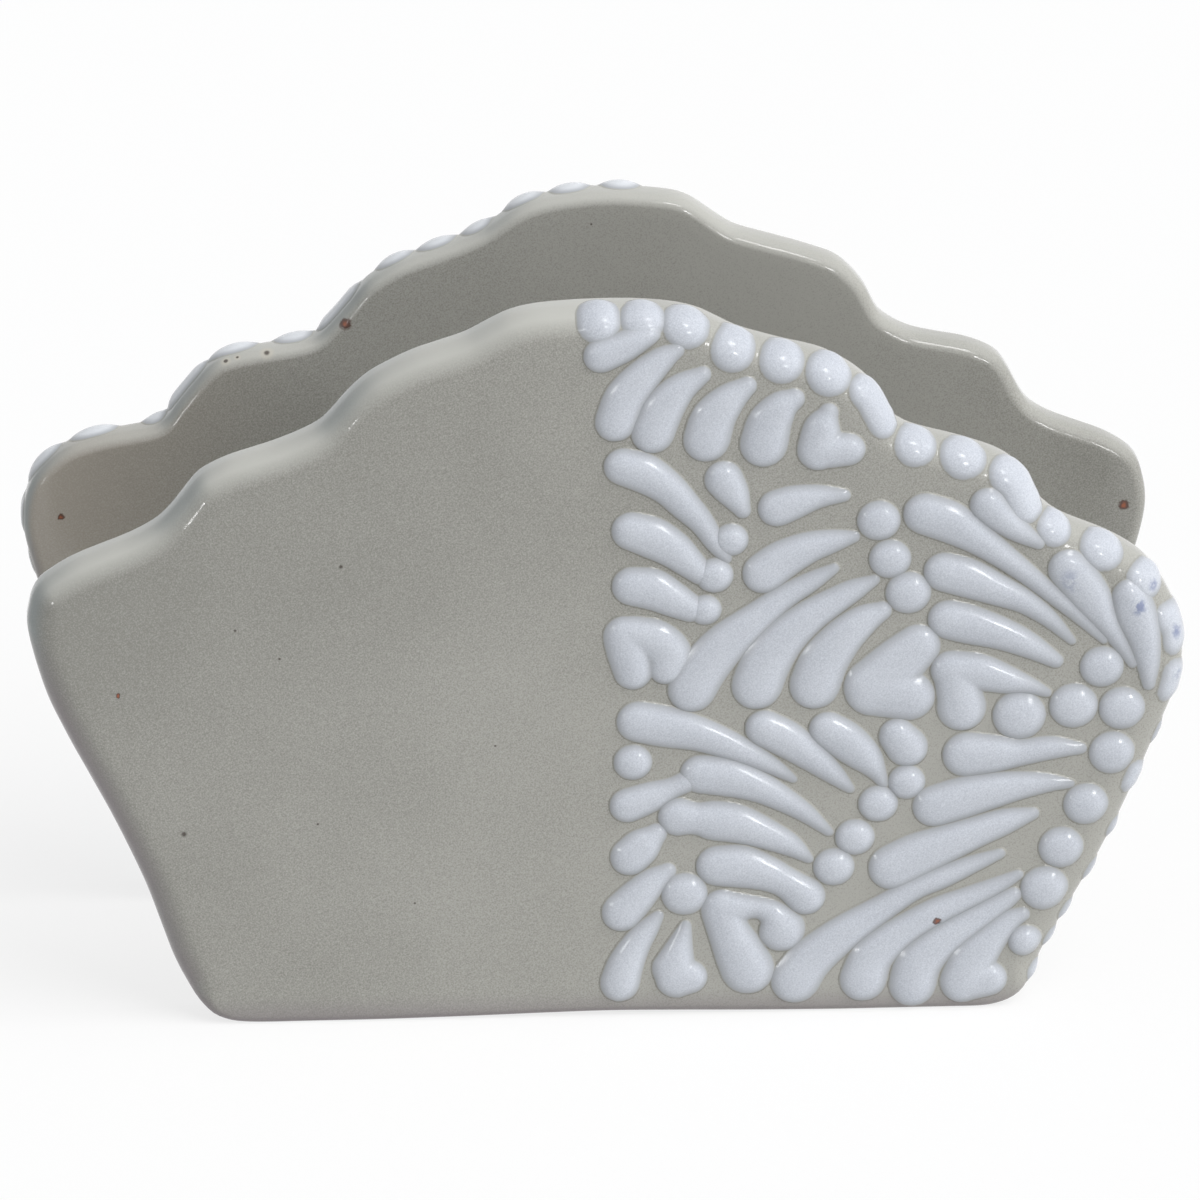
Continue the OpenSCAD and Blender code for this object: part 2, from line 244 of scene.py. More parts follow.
# How the tone goes over the holder: from and to in metres, and by how much where it isn't all the way
glazeTone = {
    "behind": (0.0, 0.02),  # the back wall starts between these
    "right": (-0.09, 0.05, 0.55),  # paler
    "upper": (0.045, 0.08, 0.24),  # deeper
    "leftEnd": (-0.09, -0.04),
    "frontLeft": 0.02,  # deeper
    "back": 0.3,  # paler, as painted light that lifts the shade in the slot
    "backEnds": (0.0009, 0.0064, 0.33),  # deeper, by the square of the distance from the middle, so the middle stays paler as painted light where the front wall's shadow falls
    "backRight": (0.055, 0.085, 0.3),  # deeper
    "backTan": 0.5,
    # Painted shade along the foot
    "foot": (0.0, 0.005),
    "footPlum": 0.6,
}
# How the colour changes over the edges, by the way that the wall faces under it: 0 is level and 1 straight
# up
# Paler where an edge faces up, as thinner glaze and painted light; bluish-grey where it faces left and
# purplish where it faces down, as painted shade
glazeEdge = {
    "reach": 2.1,
    "flat": 0.25,  # what a face may turn before it counts as an edge
    "flattest": 0.0001,
    "upward": (0.25, 0.95),
    "cream": 0.95,
    "creamLostBehind": 0.15,
    "creamLostBackLeft": 0.35,
    "creamLostBackRight": (-0.01, 0.05, 0.45),
    "creamLostFrontRight": (-0.002, 0.008, 0.5),
    "leftward": (0.25, 0.9),
    "cool": 0.8,
    "downward": (0.05, 0.45),
    "plumLeft": (-0.01, 0.07),  # metres
    "plum": 0.8,
}
# Where iron and pinholes break the glaze: place and radius in millimetres
specks = {
    "rust": fromScreen(164, 92, 62),
    "burnt": fromScreen(86, 56, 46),
    "pit": fromScreen(62, 50, 44),
    "halo": fromScreen(196, 192, 180),
    # Where a mark starts to fade and where it ends, in shares of its radius, and its strength
    "haloFade": (1.0, 2.4, 0.7),
    "pitFade": (0.5, 1.1, 0.85),
    "freckleFade": (0.4, 1.2, 0.8),
    "burntFade": (0.75, 1.2, 0.9),
    "rustFade": (0.15, 0.7, 0.8),
    "wobble": 0.8,  # mm by which the edge of a rust spot wanders
    "wobbles": (1800.0, 2.0, 0.5),
    "rustSpots": [
        (51.4, -31.0, 15.2, 0.75),
        (-38.5, 21.5, 97.5, 1.0),
        (85.3, 21.5, 64.5, 0.85),
        (-75.9, -30.5, 55.4, 0.36),
        (-83.7, 21.5, 66.1, 0.5),
    ],
    "pits": [
        (-57.3, 22.6, 91.3, 0.45),
        (-55.5, 22.6, 92.0, 0.34),
        (-50.8, 22.6, 92.4, 0.62),
    ],
    "freckles": [
        (-66.0, -30.5, 32.2, 0.46),
        (-79.2, -27.5, 78.3, 0.24),
        (-50.9, -30.5, 60.9, 0.26),
        (-85.6, -28.0, 58.0, 0.26),
        (-41.3, -30.5, 75.9, 0.34),
        (-45.2, -30.5, 33.4, 0.22),
        (-30.2, -30.5, 19.8, 0.2),
        (-17.6, -30.5, 45.8, 0.2),
        (-57.7, -30.5, 65.7, 0.28),
        (0.4, 21.5, 113.3, 0.22),
    ],
}


def glazeColour(place):
    drift = place.clouds(*glaze["drift"])
    grain = place.askew(glaze["slant"]).clouds(*glaze["grain"])
    x, y, z = place.axes()
    behind = y.rising(*glazeTone["behind"])
    leftEnd = x.falling(*glazeTone["leftEnd"])
    across = x.ramp(*glazeTone["right"]) - z.ramp(*glazeTone["upper"])
    # The back wall is paler, most in its middle, as painted light against the shade in the slot
    backToneAndLight = glazeTone["back"] - (x * x).ramp(*glazeTone["backEnds"]) - x.ramp(*glazeTone["backRight"])
    onFront = leftEnd * glazeTone["frontLeft"]
    tone = drift * glaze["driftShare"] + grain * glaze["grainShare"] + across - glaze["depth"]
    tone = (tone + behind * backToneAndLight - (1 - behind) * onFront).clamped()
    colour = tone.blend(glaze["deep"], glaze["pale"])
    colour = colour.toward(glaze["tan"], leftEnd * behind * glazeTone["backTan"])
    colour = overEdges(colour, x, behind, leftEnd)
    # Painted shade along the foot
    return colour.toward(glaze["plum"], z.falling(*glazeTone["foot"]) * glazeTone["footPlum"])


def overEdges(colour, x, behind, leftEnd):
    facing = colour.node("ShaderNodeAttribute", {"attribute_name": "wallFacing"}, {}, "Vector")
    nx, ny, nz = facing.axes()
    turn = (1 - abs(ny)).clamped()
    edge = (turn.root() * glazeEdge["reach"] - glazeEdge["flat"]).clamped()
    tilt = nz / (1 - ny * ny).atLeast(glazeEdge["flattest"]).root()
    lostBehind = x.ramp(*glazeEdge["creamLostBackRight"]) + leftEnd * glazeEdge["creamLostBackLeft"]
    lost = behind * (lostBehind + glazeEdge["creamLostBehind"])
    lost = lost + (1 - behind) * x.ramp(*glazeEdge["creamLostFrontRight"])
    # Paler where an edge faces up: thinner glaze, and painted light from above
    creamy = tilt.rising(*glazeEdge["upward"]) * (glazeEdge["cream"] - lost)
    # Painted shade where an edge faces left
    leftward = (-nx).rising(*glazeEdge["leftward"])
    # Painted shade where an edge faces down, on the left and fading out towards the right
    downward = (-tilt).rising(*glazeEdge["downward"]) * x.falling(*glazeEdge["plumLeft"])
    colour = colour.toward(glaze["cream"], edge * creamy)
    colour = colour.toward(glaze["cool"], edge * leftward * (1 - downward) * glazeEdge["cool"])
    return colour.toward(glaze["plum"], edge * downward * glazeEdge["plum"])


def withMark(colour, away, radius, tint, fade):
    near, far, strength = fade
    return colour.toward(tint, away.falling(radius * near * mm, radius * far * mm) * strength)


def withSpecks(colour, place):
    for x, y, z, r in specks["pits"]:
        away = place.distanceTo((x, y, z))
        colour = withMark(colour, away, r, specks["halo"], specks["haloFade"])
        colour = withMark(colour, away, r, specks["pit"], specks["pitFade"])
    for x, y, z, r in specks["freckles"]:
        away = place.distanceTo((x, y, z))
        colour = withMark(colour, away, r, specks["pit"], specks["freckleFade"])
    return withRust(colour, place)


def withRust(colour, place):
    wobble = (place.clouds(*specks["wobbles"]) - 0.5) * (specks["wobble"] * mm)
    for x, y, z, r in specks["rustSpots"]:
        away = place.distanceTo((x, y, z)) + wobble
        colour = withMark(colour, away, r, specks["burnt"], specks["burntFade"])
        colour = withMark(colour, away, r, specks["rust"], specks["rustFade"])
    return colour


def finishShader(start, colour, roughness, height, depth):
    bump = start.node("ShaderNodeBump", {}, {"Strength": 1.0, "Distance": depth * mm, "Height": height})
    values = {"Base Color": colour, "Roughness": roughness, "Normal": bump, "IOR": glaze["ior"]}
    shader = start.node("ShaderNodeBsdfPrincipled", {}, values)
    start.node("ShaderNodeOutputMaterial", {}, {"Surface": shader})


def newMaterial(name):
    material = bpy.data.materials.new(name)
    material.use_nodes = True
    material.node_tree.nodes.clear()
    return material, Wire(material.node_tree)


def makeGreyGlaze():
    material, start = newMaterial("greyGlaze")
    place = start.node("ShaderNodeTexCoord", {}, {}, "Object")
    colour = withSpecks(glazeColour(place), place)
    height = place.clouds(*glaze["peel"])
    low, high = glaze["rough"]
    roughness = place.clouds(*glaze["patches"]) * (high - low) + low
    finishShader(start, colour, roughness, height, glaze["peelDepth"])
    return material


slip = {
    "white": fromScreen(212, 216, 224),
    "shade": fromScreen(179, 184, 194),
    "thin": fromScreen(170, 173, 178),
    "crest": fromScreen(234, 237, 241),  # painted light on top of the back wall's beads
    "crestComes": (0.02, 0.024),  # metres back from the middle
    "crestGoes": (0.0285, 0.0315),
    "crestShare": 0.75,
    "grain": (4200.0, 2.0, 0.6),
    "grainShare": 1.9,
    "drift": (90.0, 2.0, 0.5),
    "driftShare": 0.45,
    "depth": 0.58,  # more is a deeper tone all over
    # By how far the slip stands above the wall, in millimetres
    "pool": (0.0, 0.06, 0.3),
    "veil": (0.05, 0.28),
    "cover": (0.1, 0.95),
    "peel": (300.0, 2.0, 0.5),
    "peelDepth": 0.03,  # mm
    "patches": (80.0, 2.0, 0.5),
    "rough": (0.14, 0.2),
    "smudge": fromScreen(120, 130, 165),
    "smudgeFade": (0.3, 1.1),  # shares of its radius
    "blotches": (900.0, 2.0, 0.5),
    "blotchCut": (0.35, 0.6),
    "smudges": [
        # Place and radius in millimetres, then strength
        (71.6, -31.3, 71.4, 2.4, 0.35),
        (82.2, -31.3, 66.9, 1.7, 0.8),
        (84.4, -29.5, 69.8, 1.3, 0.7),
        (87.9, -29.0, 62.0, 1.6, 0.8),
        (88.6, -29.0, 54.8, 1.4, 0.4),
    ],
}


def whiteTone(place):
    grain = place.askew(glaze["slant"]).clouds(*slip["grain"])
    drift = place.clouds(*slip["drift"])
    tone = (drift * slip["driftShare"] + grain * slip["grainShare"] - slip["depth"]).clamped()
    white = tone.blend(slip["shade"], slip["white"])
    blotch = place.clouds(*slip["blotches"]).rising(*slip["blotchCut"])
    near, far = slip["smudgeFade"]
    for x, y, z, r, strength in slip["smudges"]:
        mask = place.distanceTo((x, y, z)).falling(r * near * mm, r * far * mm) * blotch
        white = white.toward(slip["smudge"], mask * strength)
    y = place.axes()[1]
    # Painted light on top of the back wall's beads
    crest = y.rising(*slip["crestComes"]) * y.falling(*slip["crestGoes"])
    return white.toward(slip["crest"], crest * slip["crestShare"])


def makeWhiteSlip():
    material, start = newMaterial("whiteSlip")
    place = start.node("ShaderNodeTexCoord", {}, {}, "Object")
    lift = start.node("ShaderNodeAttribute", {"attribute_name": "slipLift"}, {}, "Fac")
    # At the slip's foot: pooled glaze, and painted shade in the crease against the wall
    under = glazeColour(place).toward(glaze["olive"], lift.ramp(*slip["pool"]))
    veil = under.toward(slip["thin"], lift.rising(*slip["veil"]))
    colour = withRust(veil.toward(whiteTone(place), lift.rising(*slip["cover"])), place)
    height = place.clouds(*slip["peel"])
    low, high = slip["rough"]
    roughness = place.clouds(*slip["patches"]) * (high - low) + low
    finishShader(start, colour, roughness, height, slip["peelDepth"])
    return material


greyGlaze = makeGreyGlaze()
whiteSlip = makeWhiteSlip()
print("materials made")

wallShape = {
    "numbers": 60,  # points on the outline table of the part's source
    "numberSteps": 8,
    "wayStep": 0.45,  # numbers to each side that give the direction along the rim
    "firstNumber": -300,  # across, where the outline starts at the foot
    "outlineSlack": 0.01,  # how far from the middle plane a point of the outline may lie
    "outlineDigits": 4,
    "footHub": 35.25,  # height of the point on a face that its rings run in to
    "outlineStep": 1.0,  # along the rim
    "rimTurn": 10,  # degrees between rings round the rim
    "faceRings": 24,
    "faceCrowding": 1.15,  # above 1 the rings lie closer together near the rim
    "footRound": 1.3,
    "footEase": 1.6,  # wall half thicknesses over which the foot's rounding turns into the rim's
    "outerShoulder": (4.6, 4.8),  # how far the rounding of the rim runs across and down
    "innerShoulder": (2.4, 2.0),
    "rimDrop": {"front": 0.55, "back": 0.1},  # how far the fired rim sags where it faces up
    "normalSpan": 3,  # outline steps to each side that give the direction across the rim
    "stiffFoot": (0.2, 5.0),  # heights between which the waves start
    "wave": (0.16, 34.0, 3.1),  # height, length and seed
    "waveStretch": [1, 0.3, 1],
    "rimWave": (0.12, 11.0, 9.4),
}
# The noise behind every wave: how its seed leans, how fast finer layers fade, how much finer, and how many
waveKind = {"lean": 2.7, "fall": 1.0, "gap": 2.0, "layers": 2}


# The outline of a packed wall in its middle plane, seen from outside, clockwise from the left foot end
def outlineOf(node):
    low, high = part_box(node)
    points = np.array([v.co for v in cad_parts[node].data.vertices]) / mm
    middle = (low.y + high.y) / 2 / mm
    if middle > 0:
        points, middle = turned(points), -middle
    ring = points[np.abs(points[:, 1] - middle) < wallShape["outlineSlack"]][:, [0, 2]]
    ring = np.unique(ring.round(wallShape["outlineDigits"]), axis=0)
    hub = np.array([0, wallShape["footHub"]])
    ring = ring[np.argsort(-np.arctan2(*(ring - hub).T[::-1]))]
    footEnd = onFace([wallShape["firstNumber"], 0, 0])[:2]
    start = np.argmin(np.linalg.norm(ring - footEnd, axis=1))
    return np.roll(ring, -start, axis=0), middle, (high.y - low.y) / 2 / mm


class Wall:
    def __init__(self, node):
        self.outline, self.middle, self.rim = outlineOf(node)
        self.side = node.split("_")[0]
        self.isBack = self.side == "back"
        self.perNumber = len(self.outline) / wallShape["numbers"]

    # Place at a number on the outline table, which need not be whole
    def at(self, number):
        s = number * self.perNumber
        i = math.floor(s)
        n = len(self.outline)
        return between(*(self.outline[(i + k) % n] for k in (-1, 0, 1, 2)), s - i)

    def way(self, number):
        step = wallShape["wayStep"]
        return unit(self.at(number + step) - self.at(number - step))


def waveAt(points, height, length, seed):
    shift = Vector((seed, waveKind["lean"] * seed, 0))
    kind = waveKind["fall"], waveKind["gap"], waveKind["layers"]
    return np.array([noise.fractal(Vector(p) / length + shift, *kind) for p in points]) * height


def wallPoints(wall):
    steps = wallShape["numberSteps"]
    dense = np.array([wall.at(k / steps) for k in range(wallShape["numbers"] * steps)])
    away = np.r_[0, np.cumsum(np.linalg.norm(np.roll(dense, -1, 0) - dense, axis=1))]
    count = round(away[-1] / wallShape["outlineStep"])
    closed = np.vstack([dense, dense[:1]])
    place = np.arange(count) * away[-1] / count
    line = np.c_[np.interp(place, away, closed[:, 0]), np.interp(place, away, closed[:, 1])]
    span = wallShape["normalSpan"]
    along = unit(np.roll(line, -span, 0) - np.roll(line, span, 0))
    inward = np.c_[along[:, 1], -along[:, 0]]
    height = smooth(line[:, 1], 0, wallShape["footEase"] * wall.rim)
    drop = wallShape["rimDrop"][wall.side] * height * np.clip(-inward[:, 1], 0, 1)
    line = line + inward * drop[:, None]
    rings = []
    angles = np.radians(range(0, 91, wallShape["rimTurn"]))
    foot = wallShape["footRound"]
    for side, turns, shoulder in ((-1, angles[::-1], "outerShoulder"), (1, angles, "innerShoulder")):
        radius, depth = (foot + (reach - foot) * height for reach in wallShape[shoulder])
        for angle in turns:
            flat = line + inward * (depth * (1 - math.cos(angle)))[:, None]
            y = wall.middle + side * (wall.rim - radius + radius * math.sin(angle))
            rings.append(np.c_[flat[:, 0], y, flat[:, 1]])
    return rings, count


def makeWall(name, node):
    wall = Wall(node)
    rings, count = wallPoints(wall)
    hub = np.array([0, wallShape["footHub"]])
    shares = np.arange(1, wallShape["faceRings"]) / wallShape["faceRings"]
    shrink = 1 - shares ** wallShape["faceCrowding"]

    def faceRings(edge):
        return [np.c_[hub[0] + (edge[:, 0] - hub[0]) * t, edge[:, 1], hub[1] + (edge[:, 2] - hub[1]) * t]
                for t in shrink]

    allRings = faceRings(rings[0])[::-1] + rings + faceRings(rings[-1])
    centres = [[hub[0], allRings[end][0, 1], hub[1]] for end in (0, -1)]
    points = np.vstack(allRings + centres)
    # A hand-rolled slab is never quite flat nor its rim quite even
    lifted = smooth(points[:, 2], *wallShape["stiffFoot"])
    depth = (points[:, 1] - wall.middle) / wall.rim
    height, length, seed = wallShape["wave"]
    stretched = points * wallShape["waveStretch"]
    points[:, 1] += waveAt(stretched, height, length, seed + wall.isBack) * lifted
    height, length, seed = wallShape["rimWave"]
    push = waveAt(points, height, length, seed + wall.isBack) * lifted
    outward = unit(points - [0, wall.middle, wallShape["footHub"]]) * [1, 0, 1]
    points += outward * (push * (1 - np.abs(depth) ** 2))[:, None]
    total = len(allRings)
    faces = skin(total, count)
    first, last = total * count, (total - 1) * count
    faces += [(first, (i + 1) % count, i) for i in range(count)]
    faces += [(first + 1, last + i, last + (i + 1) % count) for i in range(count)]
    wall.tree = BVHTree.FromPolygons(points.tolist(), faces)
    mesh = newMesh(name, turned(points) if wall.isBack else points, faces)
    keepFacing(mesh, readVectors(mesh.vertices, "normal"))
    newPiece(name, mesh, greyGlaze, node)
    return wall


walls = {"front": makeWall("frontWall", "front_wall"), "back": makeWall("backWall", "back_wall")}
print("walls made")

floorShape = {
    "round": 1.2,
    "roundFall": 0.9,  # how the rounding shrinks as an end closes in
    "leastRound": 0.05,
    "turns": 6,  # steps in each rounded corner
    "endTurns": [0, 18, 36, 54, 72, 90],  # degrees
    "stations": 60,
    "wave": (0.12, 16.0, 5.7),  # height, length and seed
    "waveFrom": 1.0,  # above the slab's underside
}
seamShape = {
    "end": 1.6,  # the coil thins towards its ends over this length
    "endShare": 0.75,
    "turn": 10,  # degrees
    "sink": 0.35,  # how far it reaches into the slabs
    "lumps": (0.05, 9.0, 4.2),  # share of its size, length and seed
}


# A rectangle with rounded corners, across the slab
def crossLoop(halfWidth, low, high, radius):
    across, bottom, top = halfWidth - radius, low + radius, high - radius
    corners = ((across, top, 0), (-across, top, 90), (-across, bottom, 180), (across, bottom, 270))
    turns = floorShape["turns"]
    made = []
    for cy, cz, start in corners:
        for k in range(turns + 1):
            a = math.radians(start + 90 * k / turns)
            made.append((cy + radius * math.cos(a), cz + radius * math.sin(a)))
    return np.array(made)


# A solid through loops of as many points each, closed at both ends
def loft(loops):
    count = len(loops[0])
    points = np.vstack(loops)
    last = (len(loops) - 1) * count
    ends = [tuple(range(count))[::-1], tuple(last + i for i in range(count))]
    return points, skin(len(loops), count) + ends


def makeFloor():
    low, high = (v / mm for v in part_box("floor"))
    r, half = floorShape["round"], high.x
    loops = []
    turns = np.radians(floorShape["endTurns"])
    ends = [(half - r + r * math.cos(a), r - r * math.sin(a)) for a in turns]
    middle = [(x, 0.0) for x in np.linspace(-half + r, half - r, floorShape["stations"])]
    stations = [(-x, d) for x, d in ends] + middle + ends[::-1]
    for x, inset in stations:
        radius = max(floorShape["leastRound"], r - inset * floorShape["roundFall"])
        loop = crossLoop(high.y - inset, low.z + inset, high.z - inset, radius)
        loops.append(np.c_[np.full(len(loop), x), loop])
    points, faces = loft(loops)
    top = smooth(points[:, 2], low.z + floorShape["waveFrom"], high.z)
    points[:, 2] += waveAt(points, *floorShape["wave"]) * top
    newPiece("floorSlab", newMesh("floorSlab", points, faces), greyGlaze, "floor")


def makeSeam(name, node):
    low, high = (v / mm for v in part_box(node))
    back = low.y > 0
    r = high.z - low.z
    sink = seamShape["sink"]
    lump, length, seed = seamShape["lumps"]
    loops = []
    for x in np.linspace(low.x, high.x, floorShape["stations"]):
        near = min(x - low.x, high.x - x)
        size = r * (seamShape["endShare"] + (1 - seamShape["endShare"]) * smooth(near, 0, seamShape["end"]))
        size *= 1 + lump * noise.noise(Vector((x / length, seed + back, 0)))
        turns = np.radians(range(0, 91, seamShape["turn"]))
        arc = [(size - size * math.cos(a), size - size * math.sin(a)) for a in turns]
        loop = [(-sink, size)] + arc + [(size, -sink), (-sink, -sink)]
        loops.append(np.array([(x, -high.y + u if back else low.y + u, low.z + v) for u, v in loop]))
    points, faces = loft(loops)
    if back:
        points = turned(points)
    newPiece(name, newMesh(name, points, faces), greyGlaze, node)


makeFloor()
makeSeam("frontSeam", "front_seam")
makeSeam("backSeam", "back_seam")
print("floor and seams made")

slipShape = {
    "lift": 1.2,
    "fullRadius": 2.7,  # a stroke this wide or wider has the full lift
    "thinning": 0.7,  # how its lift falls with its width
    "dome": 1.5,  # 1 is an ellipse, and more has a softer foot
    "step": 0.6,
    "dotLength": 0.2,  # how far a dot runs on, in thousandths of the width
    "profileTurn": 15,  # degrees
    "endTurns": [10, 25, 40, 55, 70],  # degrees round each end
    "sink": 0.6,  # how far slip reaches into the wall
    "grow": 0.2,  # what melting and softening take off a stroke's side
    "cell": 0.32,
    "softening": (0.5, 5),  # share and times
    "flare": 0.5,  # how far the foot of the slip runs out over the wall
    "flareFall": 0.28,
    "flareSlope": (0.2, 0.7),
    "clearOfFloor": 0.05,
    "castFrom": 10,  # before the wall
    "deepest": 2.2,  # below the flat of the wall, where a stroke reaches past the edge
    "headsMeet": 2.2,
    "beadThickness": 1.6,  # beads over an edge are this much thicker and whiter than strokes
}

# Strokes of slip from head to tail: across, up, radius
strokes = {
    "top_feathers": [
        [[-6, 932, 13.5], [13, 944, 12], [34, 962, 9]],
        [[6, 841, 16], [14, 873, 16], [29, 902, 13.5], [46, 926, 9.5], [58, 937, 5]],
        [[38, 825, 17], [47, 857, 16], [61, 884, 12], [80, 903, 6]],
        [[84, 814, 18.5], [90, 843, 17.5], [103, 868, 13], [118, 886, 7]],
        [[133, 806, 19], [138, 835, 17.5], [148, 857, 13], [158, 867, 8]],
        [[180, 797, 17], [183, 828, 14], [188, 847, 7]],
        [[181, 795, 15], [205, 796, 13]],
    ],
    "left_feathers": [
        [[13, 778, 15], [31, 768, 16], [50, 748, 13.5], [66, 722, 11.5], [80, 698, 9], [92, 668, 6.5],
         [101, 648, 3.5]],
        [[105, 673, 13]],
        [[99, 757, 15], [108, 735, 11.5], [115, 714, 5.5]],
        [[145, 716, 15], [160, 724, 13.5], [180, 731, 9], [202, 732, 4]],
        [[20, 688, 15.5], [38, 678, 17], [55, 662, 15], [68, 644, 12], [79, 628, 9]],
        [[91, 624, 14]],
        [[21, 611, 16], [38, 606, 17], [56, 591, 14], [70, 579, 11]],
        [[83, 576, 12]],
    ],
    "centre_plume": [
        [[134, 626, 17], [150, 644, 16], [172, 660, 12.5], [194, 669, 8.5], [211, 674, 3.5]],
        [[72, 465, 19.3], [82, 493, 19.3], [100, 527, 17.5], [125, 560, 13], [150, 590, 9.5],
         [175, 613, 7], [194, 630, 3]],
        [[128, 469, 20.5], [136, 500, 20], [151, 533, 17], [172, 562, 13.5], [195, 585, 10.5],
         [212, 600, 8], [229, 613, 3]],
        [[178, 468, 20.5], [186, 500, 19.5], [202, 533, 16], [220, 557, 12], [235, 569, 7]],
        [[230, 463, 25.5], [250, 495, 22], [266, 518, 18.5]],
        [[230, 462, 25], [259, 449, 21]],
        [[14, 540, 17], [18, 515, 17], [21, 492, 15]],
        [[20, 544, 15], [40, 535, 17], [52, 515, 18], [50, 497, 14]],
    ],
    "corner_feathers": [
        [[326, 714, 14], [337, 697, 12], [353, 677, 8.5], [370, 659, 3.5]],
        [[272, 704, 17], [294, 691, 17], [318, 667, 12.5], [340, 642, 9.5], [360, 617, 7.5],
         [380, 590, 6], [402, 560, 4.5], [428, 521, 2]],
        [[289, 622, 16], [310, 612, 16], [335, 595, 12.5], [358, 578, 9], [380, 553, 6], [400, 521, 2]],
        [[293, 555, 16], [312, 547, 16], [338, 534, 13], [362, 517, 10], [386, 494, 5]],
        [[296, 484, 16], [320, 480, 15], [345, 468, 11], [364, 459, 6], [379, 449, 2.5]],
        [[298, 480, 16], [303, 450, 18], [305, 432, 20]],
        [[396, 622, 16], [407, 602, 16.5], [417, 580, 15], [426, 556, 10.5], [433, 538, 7.5],
         [441, 518, 5.5], [453, 487, 2.5]],
        [[450, 581, 14.5], [455, 558, 16.5], [462, 525, 13], [466, 490, 9], [467, 458, 4]],
    ],
    "side_feathers": [
        [[310, 364, 19], [335, 364, 15.5], [357, 365, 10.5], [383, 371, 9], [409, 369, 3.5]],
        [[283, 292, 17.5], [305, 302, 17.5], [330, 311, 15], [355, 318, 11.5], [380, 321, 7],
         [401, 319, 2]],
        [[247, 206, 19.5], [269, 223, 19], [295, 239, 15.5], [320, 254, 12.5], [345, 268, 10],
         [368, 278, 4]],
    ],
    "foot_feathers": [
        [[163, 48, 20], [176, 76, 18], [202, 110, 15], [235, 144, 11], [265, 173, 8.5], [290, 190, 8.5],
         [315, 207, 6.5], [340, 222, 3]],
        [[222, 47, 19], [229, 76, 17], [245, 101, 14], [264, 122, 12], [287, 142, 11], [311, 158, 9],
         [336, 175, 6.5], [356, 191, 3]],
        [[265, 38, 19], [270, 65, 18.5], [286, 92, 14.5], [305, 114, 12], [328, 137, 9.5], [343, 152, 7.5],
         [352, 162, 5.5]],
        [[309, 41, 18.5], [318, 70, 18], [333, 100, 12.5], [349, 125, 8.5], [360, 134, 5]],
        [[311, 40, 17], [331, 43, 14.5]],
    ],
    "middle_drops": [
        [[135, 407, 15], [155, 390, 15], [177, 364, 11.5], [195, 340, 7.5], [209, 319, 2.5]],
        [[190, 403, 15], [206, 386, 16], [223, 362, 12.5], [233, 340, 6], [238, 324, 2.5]],
        [[250, 392, 14.5], [258, 377, 16.5]],
    ],
    "lower_feathers": [
        [[26, 420, 17], [50, 412, 17], [78, 401, 14], [103, 385, 11.5], [126, 367, 8.5], [145, 350, 5.5],
         [160, 334, 2]],
        [[80, 344, 16], [105, 338, 16], [130, 324, 12.5], [152, 305, 9.5], [172, 284, 6.5],
         [191, 258, 2.5]],
        [[17, 302, 14], [38, 314, 12], [55, 325, 8], [68, 334, 8]],
        [[61, 284, 16], [76, 281, 13], [90, 278, 16.5], [112, 272, 16], [135, 258, 12.5], [158, 240, 8.5],
         [174, 220, 2.5]],
        [[95, 213, 17], [115, 211, 18], [138, 200, 14.5], [155, 186, 12.5], [171, 167, 15.5]],
    ],
    "foot_drops": [
        [[19, 229, 15.5], [30, 245, 14.5], [41, 260, 8]],
        [[12, 150, 16], [24, 170, 14.5], [38, 192, 11], [51, 207, 6]],
        [[10, 49, 15.5], [15, 75, 14], [24, 103, 11], [35, 127, 7.5], [43, 143, 3.5]],
        [[57, 69, 17.5], [62, 100, 10], [67, 128, 3.5]],
        [[60, 54, 17], [70, 55, 14]],
        [[99, 150, 17], [104, 122, 16.5], [113, 92, 20], [121, 66, 22]],
        [[101, 151, 16], [127, 153, 8.5], [142, 143, 11], [150, 122, 19.5]],
    ],
}
dots = {
    "crown_dots": [[232, 696, 16.5], [242, 642, 16], [258, 594, 17.5]],
    "side_dots": [
        [426, 484, 17], [402, 430, 19], [444, 425, 18], [355, 418, 21], [436, 362, 18], [414, 290, 17.5],
        [393, 229, 17.5], [379, 171, 19], [363, 96, 13],
    ],
    "left_dots": [[21, 363, 14.5], [66, 174, 18]],
    "lower_dots": [[258, 327, 14], [233.5, 297, 15], [213.5, 250, 15], [195.5, 208, 15.8]],
}
# Beads over the rim: the outline numbers between which one runs, its radius, and how far over the edge it
# reaches towards the outer face, in degrees
rimBeads = {
    "start": 12,  # degrees from the top of the rim
    "over": 6,
    "grow": 0.3,
    "lift": 0.95,
    "crestLift": 0.55,  # on top of the rim
    "crestShare": {"front": 0.76, "back": 1.0},  # of its radius that a bead has on top of the rim
    "front": [
        [25.85, 25.85, 16, 62], [26.6, 26.6, 17, 52], [27.65, 27.65, 17, 48], [29, 29, 19, 55],
        [30.05, 30.05, 18, 55], [31.3, 31.3, 17.5, 55], [32.7, 33.9, 13.5, 42], [35.15, 35.15, 18, 52],
        [36.25, 36.25, 18.5, 52], [37.6, 38.9, 15.5, 46], [39.9, 39.9, 14.5, 50], [41, 41, 17.5, 52],
        [42.55, 42.55, 14, 54],
    ],
    "back": [
        [25.8, 25.8, 16.5, 55], [26.6, 26.6, 17, 55], [27.7, 27.7, 16.5, 55], [29.1, 29.1, 18, 55],
        [30.1, 30.1, 19, 55], [31.2, 31.2, 17, 55], [33, 34, 13.5, 42], [35.3, 35.3, 19, 52],
        [36.6, 36.6, 19, 52], [38, 38.9, 14, 46], [40, 40, 16, 50], [41.4, 41.4, 19.5, 52],
        [42.7, 42.7, 17.5, 50],
    ],
}
